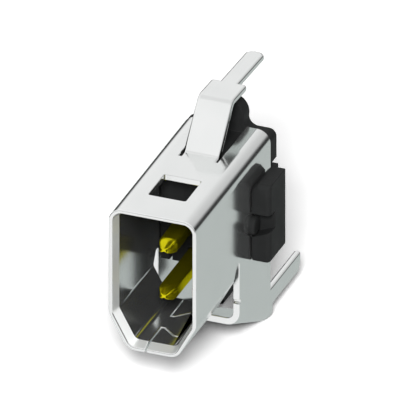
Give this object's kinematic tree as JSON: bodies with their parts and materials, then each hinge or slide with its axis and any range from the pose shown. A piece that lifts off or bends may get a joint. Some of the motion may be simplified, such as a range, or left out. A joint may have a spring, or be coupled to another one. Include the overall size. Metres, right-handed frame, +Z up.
{
  "type": "single pair ethernet socket",
  "caption": "Socket for a data plug, mounted on a circuit board: a folded metal shield around a black insulator and stacked gold-coloured contacts.",
  "frame": {"origin": "on the board face (the flange's rear face), on the mid-plane, midway between the two contacts", "axes": "+Y out of the board face along the solder pins, away from the plug mouth; +Z up, towards the latch window and the spring tab; +X across"},
  "size_m": [0.0063, 0.016, 0.0145],
  "materials": {
    "shield_shell": "polished plating over sheet metal",
    "insulator": "satin",
    "contact_lower": "gold plated, polished",
    "contact_upper": "gold plated, polished"
  },
  "bodies": {
    "root": {"shield_shell": "shield_shell", "insulator": "insulator", "contact_lower": "contact_lower", "contact_upper": "contact_upper"}
  },
  "joints": []
}
